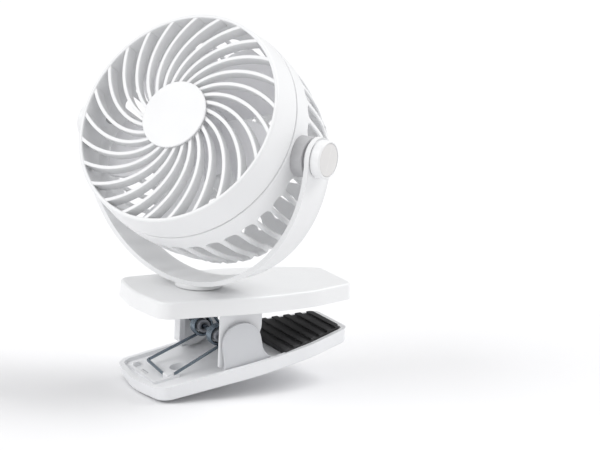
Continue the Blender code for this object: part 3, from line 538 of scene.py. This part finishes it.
zinc = plated("zinc_wire", (0.24, 0.28, 0.32), (0.17, 0.21, 0.25), 0.16, 1800, 0.1, (0.15, 1, 1))
coil_radius, coil_start, coil_end, coil_turns, wire_radius = 6.0, 8.8, bar_half, 3.0, 1.0
coil_steps, bend_radius = 96, 2
leg_angle, bar_angle = 30, -73          # where on the coil its free leg and its outer leg leave it
bar_rise = 3.2                          # the bar lies aslant, higher at its left end


def spring_half(sign):
    """The wire's points from the free end, round one coil, to the middle of the bar."""
    start = math.radians(leg_angle)
    lean = Vector((0, -math.sin(start), math.cos(start)))
    first = Vector((sign * coil_start, coil_radius * math.cos(start), coil_radius * math.sin(start)))
    points = [first + lean * reach for reach in (22, 16, 10, 5)]
    sweep = 360 * coil_turns + leg_angle - bar_angle
    for i in range(coil_steps + 1):
        angle = start - math.radians(sweep * i / coil_steps)
        x = sign * (coil_start + (coil_end - coil_start) * i / coil_steps)
        points.append(Vector((x, coil_radius * math.cos(angle), coil_radius * math.sin(angle))))
    bar_z = tray_floor + wire_radius + 0.2
    for turned in (90, 67.5, 45, 22.5, 0):
        angle = math.radians(turned)
        x = bar_half - bend_radius + bend_radius * math.sin(angle)
        y = bar_y + bend_radius - bend_radius * math.cos(angle)
        points.append(Vector((sign * x, y, bar_z + bar_rise * (1 - sign * x / bar_half) / 2)))
    return points


bpy.ops.object.select_all(action="DESELECT")
bpy.ops.curve.primitive_nurbs_path_add()
spring = bpy.context.object
spring.name = "clamp_spring_wire"
spring.data.splines.clear()
spring_points = spring_half(1) + spring_half(-1)[::-1]
wire = spring.data.splines.new("POLY")
wire.points.add(len(spring_points) - 1)
for point, here in zip(wire.points, spring_points):
    point.co = (*(here * MM), 1)
spring.data.bevel_depth = wire_radius * MM
spring.data.bevel_resolution = 3
spring.data.use_fill_caps = True
bpy.ops.object.convert(target="MESH")
tidy_normals()
fit(spring, None, jaw_frame, zinc, "steel", "clamp_spring")
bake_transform(spring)

pin = turn("hinge_pin", [(1.3, -31.8), (1.6, -31.5), (1.6, 31.5), (1.3, 31.8)], 32)
fit(pin, "lower_jaw", jaw_frame @ across_fan, zinc, "steel", "pivot_pin")

# ---- Yoke ----
# The C-shaped arm is one moulding: a flat elliptical band with round ends that hold the
# head's pivots, and a low round foot that turns on the cover.
yoke_frame = Matrix.Translation((pivot.x, pivot.y, 0)) @ Matrix.Rotation(math.radians(30), 4, "Z")
pivot_frame = Matrix.Translation((0, 0, pivot.z)) @ yoke_frame
band_half_x, band_depth, band_width, band_wall = 84.2, 90.0, 26.0, 3.0
end_share = 0.07                        # of the band's length, given to each round end
border_width, border_step = 1.3, 0.45   # a raised border round the band's outer face


def shaped_grid(name, columns, rows, place):
    """A flat grid whose points are moved to place(u, v), with u and v from 0 to 1."""
    bpy.ops.object.select_all(action="DESELECT")
    bpy.ops.mesh.primitive_grid_add(x_subdivisions=columns, y_subdivisions=rows, size=1)
    piece = bpy.context.object
    piece.name = name
    for point in piece.data.vertices:
        point.co = Vector(place(point.co.x + 0.5, point.co.y + 0.5)) * MM
    return piece


def on_band(u, v):
    """A point of the band's outer face: u across it, v from one end to the other."""
    side = 1 if v > 0.5 else -1
    end = min(v, 1 - v) / end_share
    if end < 1:
        angle = math.radians(88) * (1 - end)
        across_end = (u - 0.5) * band_width * math.cos(angle)
        return side * band_half_x, across_end, band_width / 2 * math.sin(angle)
    angle = math.pi * (1 + (v - end_share) / (1 - 2 * end_share))
    return band_half_x * math.cos(angle), (u - 0.5) * band_width, band_depth * math.sin(angle)


arm = shaped_grid("yoke_band", 6, 114, on_band)
tidy_normals()
apply_modifier(arm, "SOLIDIFY", thickness=band_wall * MM, offset=-1, use_even_offset=True)
bpy.ops.object.mode_set(mode="EDIT")
pick("FACE", lambda middle, normal: normal.dot(Vector((middle.x, 0, middle.z)).normalized()) > 0.75)
bpy.ops.mesh.inset(thickness=border_width * MM, depth=-border_step * MM, use_even_offset=True)
soften(arm, 0.35, 3, 50)

foot = turn("yoke_foot", [
    (1.6, 11.4), (14.6, 11.4), (15, 11.8), (15, 13.6), (14.6, 14.2), (13.8, 14.5), (1.6, 14.5), (1.6, 11.4)])
fit(foot, "yoke", yoke_frame, white_plastic, "white")
fit(arm, "yoke", pivot_frame, white_plastic, "white", "yoke_arm")

# ---- Tilt knobs ----
# On each side a round knob covers the pivot screw, with a satin disc pressed into its
# face.  Between arm and head are a friction washer and a grey bush.
cap_plastic = moulded("knob_disc", (0.72, 0.71, 0.70), (0.68, 0.67, 0.665), 0.36, 2600, 0.35, 0.05)
bush_plastic = moulded("bush_grey", (0.50, 0.50, 0.51), (0.44, 0.44, 0.455), 0.5, 1300, 0.4, 0.05)
steel = plated("screw_steel", (0.60, 0.61, 0.63), (0.50, 0.51, 0.54), 0.3)
knob_face, knob_seat = 90.4, 83.9

for side, sign in (("left", -1), ("right", 1)):
    outward = pivot_frame @ Matrix.Rotation(sign * math.radians(90), 4, "Y")
    knob = turn("tilt_knob_" + side, [
        (10.2, knob_face - 1.4), (10.2, knob_face - 0.2), (10.4, knob_face), (10.9, knob_face),
        (11.35, knob_face - 0.25), (11.6, knob_face - 0.8), (11.6, knob_seat + 0.3), (11.3, knob_seat),
        (2.3, knob_seat), (2.3, knob_seat + 2), (4.6, knob_seat + 2), (4.6, knob_face - 1.4),
        (10.2, knob_face - 1.4)])
    fit(knob, "yoke", outward, white_plastic, "white", "knob_" + side)
    disc = turn("knob_disc_" + side, [
        (9.8, knob_face - 1.3), (10.0, knob_face - 1.1), (10.0, knob_face - 0.35),
        (9.7, knob_face - 0.15), (6, knob_face - 0.05), (0.5, knob_face - 0.02)])
    fit(disc, "yoke", outward, cap_plastic, "warm_grey", "knob_cap_" + side)
    washer = turn("friction_ring_" + side, [
        (2.3, 79.1), (10.6, 79.1), (10.9, 79.3), (10.9, 80.1), (10.6, 80.3), (2.3, 80.3), (2.3, 79.1)], 64)
    fit(washer, "yoke", outward, bush_plastic, "grey", "friction_washer_" + side)
    bush = turn("pivot_boss_" + side, [
        (2.3, 68.8), (12.4, 68.8), (12.4, 78.1), (11.9, 78.8), (2.3, 78.8), (2.3, 68.8)])
    fit(bush, "head", outward, bush_plastic, "grey", "pivot_bush_" + side)

paint_nodes(steel, "pivot_screw_left", "pivot_screw_right", "swivel_screw", "swivel_washer")

# ---- Front guard ----
# The ring and its twenty-five swept fins are one moulding, pushed on over the housing.
# The fins run from a small hub to the rim, deep and close together.
head_axis = Vector(joints["impeller_spin"]["axis"]).normalized()
tilt_axis = Vector(joints["head_tilt"]["axis"]).normalized()
head_turn = Matrix((tilt_axis, head_axis.cross(tilt_axis), head_axis)).transposed().to_4x4()
head_frame = Matrix.Translation(pivot) @ head_turn
fin_count, fin_start, fin_sweep, fin_bend = 25, math.radians(36.4), math.radians(-52), 0.86
fin_thickness, fin_depth = 2.2, 9.0
fin_inner, fin_outer, rim_z, hub_z = 18.7, 66.9, 35.8, 39.0


def on_fin(u, v):
    """A point of one fin's middle surface: u out from the hub, v back from its edge."""
    angle = fin_start + fin_sweep * u ** fin_bend
    radius = fin_inner + (fin_outer - fin_inner) * u
    front = hub_z - 1.6 + (rim_z - hub_z + 1.0) * u
    return radius * math.cos(angle), radius * math.sin(angle), front - fin_depth * (0.55 + 0.45 * u) * v


def repeat_round(piece, count):
    """Copies the piece round its Z axis, each copy with its own mesh, and joins them."""
    if bpy.context.object.mode == "EDIT":
        bpy.ops.object.mode_set(mode="OBJECT")
    copies = [piece]
    for i in range(1, count):
        copy = piece.copy()
        copy.data = piece.data.copy()
        bpy.context.scene.collection.objects.link(copy)
        copy.matrix_world = Matrix.Rotation(2 * math.pi * i / count, 4, "Z") @ piece.matrix_world
        copies.append(copy)
    join(copies)


def join(pieces):
    """Makes one piece of several; it keeps the first one's name."""
    bpy.ops.object.select_all(action="DESELECT")
    for piece in pieces:
        piece.select_set(True)
    bpy.context.view_layer.objects.active = pieces[0]
    bpy.ops.object.join()


fins = shaped_grid("guard_fins", 26, 2, on_fin)
tidy_normals()
apply_modifier(fins, "SOLIDIFY", thickness=fin_thickness * MM, offset=0, use_even_offset=True)
soften(fins, 0.35, 3, 40)
repeat_round(fins, fin_count)

rim = turn("guard_rim", [
    (66.0, 35.1), (66.25, 35.6), (66.8, 35.8), (67.6, 35.8), (68.2, 35.5), (68.65, 34.9), (69.4, 28.5),
    (70.1, 21), (70.55, 15.3), (70.35, 14.9), (68.6, 14.8), (68.2, 12.4), (67.4, 12.4), (66.9, 20),
    (66.3, 28), (66.0, 35.1)], 160)
hub = turn("guard_hub", [(4, 33.8), (19.7, 33.8), (20.3, 34.3), (20.3, 37.4), (4, 37.4), (4, 33.8)])
join([rim, hub, fins])
rim.name = "guard_moulding"
fit(rim, "head", head_frame, white_plastic, "white", "front_guard")

hub_disc = turn("guard_hub_disc", [
    (21.4, 37.8), (21.7, 38.0), (21.7, 38.6), (21.45, 38.9), (21.1, 39.0), (8, 39.0), (0.5, 39.0)])
fit(hub_disc, "head", head_frame, white_plastic, "white", "guard_hub_cap")

# ---- Rear housing ----
# A deep bowl with thirty-six long slots down its side, separated by rounded ribs, and
# shorter slots across its back.  The two slots beside each pivot start further back.
slot_count, rib_half, slot_front, slot_rear, pivot_slot_front = 36, 1.85, 0.85, -51.85, -13.15
back_rib_half, back_slot_inner, back_slot_outer = 1.2, 23.8, 42.2
lip_swell, rib_dip = 2.8, 0.7
swell = 1 / 0.9949                      # what smoothing takes off a thirty-six sided ring
bowl_profile = [
    (71, 14.2), (71, 13.4), (71.05, 7), (71, 1.8), (70.95, slot_front), (70.3, -6), (69.7, pivot_slot_front),
    (68.4, -24), (66.2, -35), (63.0, -44.5), (60.9, -49), (59.2, slot_rear), (57.3, -54), (52.5, -57.6),
    (46, -59.8), (back_slot_outer, -60.4), (33, -60.5), (back_slot_inner, -60.5), (14, -60.5),
    (9.8, -60.5), (9.5, -60.5)]
bowl = turn("housing_bowl", [(radius * swell, z) for radius, z in bowl_profile], slot_count)
bpy.ops.object.mode_set(mode="EDIT")
pick("FACE", lambda middle, normal: abs(normal.z) > 0.99 and middle.xy.length < 1)
bpy.ops.mesh.delete(type="FACE")
pick("FACE", lambda middle, normal: middle.z > 14 and abs(normal.z) > 0.9)
bpy.ops.mesh.delete(type="FACE")


def open_slot(angle, margin, inside):
    """Cuts one slot: the faces of a column are inset by the margin and removed."""
    facing = Vector((math.cos(angle), math.sin(angle)))
    pick("FACE", lambda middle, normal:
         middle.xy.length > 1 and middle.xy.normalized().dot(facing) > 0.997 and inside(middle))
    bpy.ops.mesh.inset(thickness=margin * MM, use_even_offset=True)
    bpy.ops.mesh.delete(type="FACE")


for i in range(slot_count):
    angle = 2 * math.pi * (i + 0.5) / slot_count
    front = pivot_slot_front if abs(math.cos(angle)) > 0.985 else slot_front
    open_slot(angle, rib_half, lambda middle: slot_rear < middle.z < front)
    if i % 2 == 0:
        open_slot(angle, back_rib_half,
                  lambda middle: middle.z < -60 and back_slot_inner < middle.xy.length < back_slot_outer)


def off_rib(point):
    """How many degrees a point stands from the middle of the nearest rib."""
    pitch = 360 / slot_count
    return abs((math.degrees(math.atan2(point.y, point.x)) + pitch / 2) % pitch - pitch / 2)


# Each slot's rear end swells outward into a rounded lip, and the ribs dip between them.
pick("VERT", lambda middle, normal: -53 < middle.z < -48.6 and off_rib(middle) > 1)
bpy.ops.transform.shrink_fatten(value=lip_swell * MM)
pick("VERT", lambda middle, normal: -55 < middle.z < -51 and off_rib(middle) < 1)
bpy.ops.transform.shrink_fatten(value=-rib_dip * MM)
bpy.ops.object.mode_set(mode="OBJECT")
tidy_normals()
apply_modifier(bowl, "SOLIDIFY", thickness=2.2 * MM, offset=-1, use_even_offset=True)
apply_modifier(bowl, "SUBSURF", levels=2, render_levels=2)
fit(bowl, "head", head_frame, white_plastic, "white", "rear_housing")

# ---- Impeller ----
# A cup-shaped hub that hides the motor, with five broad pitched blades, moulded in one
# piece from a faintly lavender white plastic.
blade_plastic = moulded("blade_white", (0.90, 0.90, 0.92), (0.87, 0.87, 0.895), 0.4, 1300, 0.3, 0.04)
blade_count, blade_span, blade_root, blade_tip = 5, math.radians(54), 18.0, 61.5


def on_blade(u, v):
    """A point of one blade's middle surface: u round its chord, v from hub to tip."""
    chord = u - 0.5
    corner = 1 - 0.10 * max(0, v - 0.8) / 0.2           # the tip's corners are drawn in
    width = (0.86 + 0.14 * math.sin(math.pi * v)) * corner
    angle = blade_span * chord * width - 0.35 * v
    radius = blade_root + (blade_tip - blade_root) * v
    return (radius * math.cos(angle), radius * math.sin(angle),
            6 + (23 - 6 * v) * chord * width + 1.6 * math.cos(math.pi * chord))


blades = shaped_grid("impeller_blades", 10, 10, on_blade)
tidy_normals()
apply_modifier(blades, "SOLIDIFY", thickness=1.6 * MM, offset=0, use_even_offset=True)
soften(blades, 0.6, 2, 40)
repeat_round(blades, blade_count)
cup = turn("impeller_wheel", [
    (1.9, 22.4), (1.9, 6), (4, 6), (4, 24.0), (13, 24.2), (16.2, 21.5), (17.2, 19), (17.2, -13.2),
    (19, -13.2), (19, 20.5), (18.4, 23.2), (16.6, 25.1), (13.5, 25.9), (6, 26), (0.5, 26)])
join([cup, blades])
fit(cup, "impeller", head_frame, blade_plastic, "blade", "impeller")

# ---- Motor ----
# A plain pod on the housing's back holds a small can motor: steel can, magnet ring,
# wound rotor on a steel shaft in two bearings, and a little circuit board behind it.
pod = turn("motor_pod_cover", [
    (4.2, -14), (17.2, -14), (18.6, -14.4), (19.6, -15.4), (20, -16.8), (20, -58), (18.2, -58),
    (18.2, -17), (17, -15.9), (4.2, -15.8), (4.2, -14)])
fit(pod, "head", head_frame, white_plastic, "white", "motor_pod")

dark_plastic = moulded("dark_nylon", (0.03, 0.03, 0.032), (0.045, 0.045, 0.05), 0.45, 1400, 0.4, 0.03)
winding = plated("enamelled_winding", (0.72, 0.36, 0.20), (0.58, 0.26, 0.14), 0.34, 3000, 0.6, (1, 1, 0.1))
board_green = moulded("board_green", (0.04, 0.20, 0.09), (0.06, 0.27, 0.12), 0.4, 700, 0.5, 0.05)
paint_nodes(steel, "motor_can", "bearing_front", "bearing_rear", "motor_shaft")
paint_nodes(dark_plastic, "motor_end_cap", "motor_magnet", "tact_switch", "inlet_tongue")
paint_nodes(winding, "motor_rotor")
paint_nodes(board_green, "control_board")

# ---- Button and inlet ----
# In the middle of the back a dished push button sits in a collar, and below it is the
# metal-shrouded socket for the supply lead.
collar = turn("button_ring", [
    (5.8, -56.5), (9.2, -56.5), (9.2, -60.7), (8.9, -61.2), (8.4, -61.3), (6.3, -61.3), (5.9, -61.0),
    (5.8, -60.6), (5.8, -56.5)])
fit(collar, "head", head_frame, cap_plastic, "warm_grey", "button_collar")
button = turn("push_button", [
    (5.2, -50.5), (5.5, -50.8), (5.5, -62.2), (5.2, -62.6), (4.6, -62.7), (3.6, -62.5), (1.8, -62.2),
    (0.4, -62.1)])
fit(button, "button", head_frame, white_plastic, "warm_grey", "power_button")

inlet_drop, inlet_foot, inlet_length, inlet_wall, inlet_depth = 14, -53.7, 7, 0.4, 6.2
inlet_plan = [(4.9, -2.0, 1.9), (4.9, 2.0, 1.9), (-4.9, 2.0, 1.9), (-4.9, -2.0, 1.9)]
shroud = draw_plan("inlet_shroud", inlet_plan, inlet_foot)
raise_face(-inlet_length)
bpy.ops.mesh.inset(thickness=inlet_wall * MM)
raise_face(inlet_depth)
tidy_normals()
soften(shroud, 0.12, 2, 40)
fit(shroud, "head", head_frame @ Matrix.Translation((0, -inlet_drop * MM, 0)), steel, "steel", "power_inlet")
